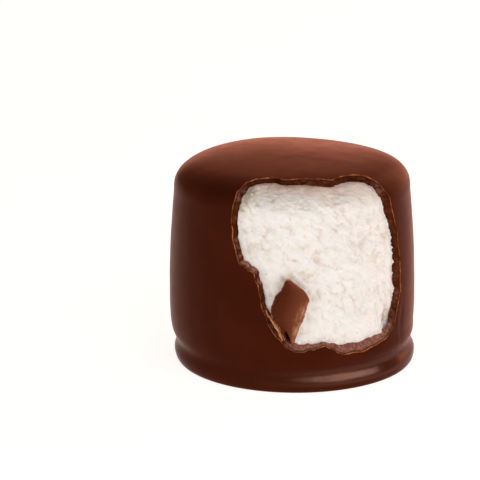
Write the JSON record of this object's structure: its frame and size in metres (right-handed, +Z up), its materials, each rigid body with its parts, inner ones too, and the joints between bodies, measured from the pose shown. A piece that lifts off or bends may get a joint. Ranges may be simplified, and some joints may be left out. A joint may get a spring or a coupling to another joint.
{
  "type": "chocolate covered marshmallow",
  "caption": "Round chocolate covered marshmallow with a domed top and a foot of set chocolate, its coat broken open in front over white foam, with a curled chocolate flake.",
  "frame": {"origin": "on the table, under the middle of the round body", "axes": "+Z up, -Y out of the broken opening in the front, +X to the right of someone facing that front"},
  "size_m": [0.0449, 0.0458, 0.0384],
  "materials": {
    "chocolate": "satin milk chocolate",
    "foam": "matte torn white foam",
    "flake": "satin milk chocolate"
  },
  "bodies": {
    "root": {"chocolate_shell": "chocolate", "marshmallow": "foam", "chocolate_flake": "flake"}
  },
  "joints": []
}
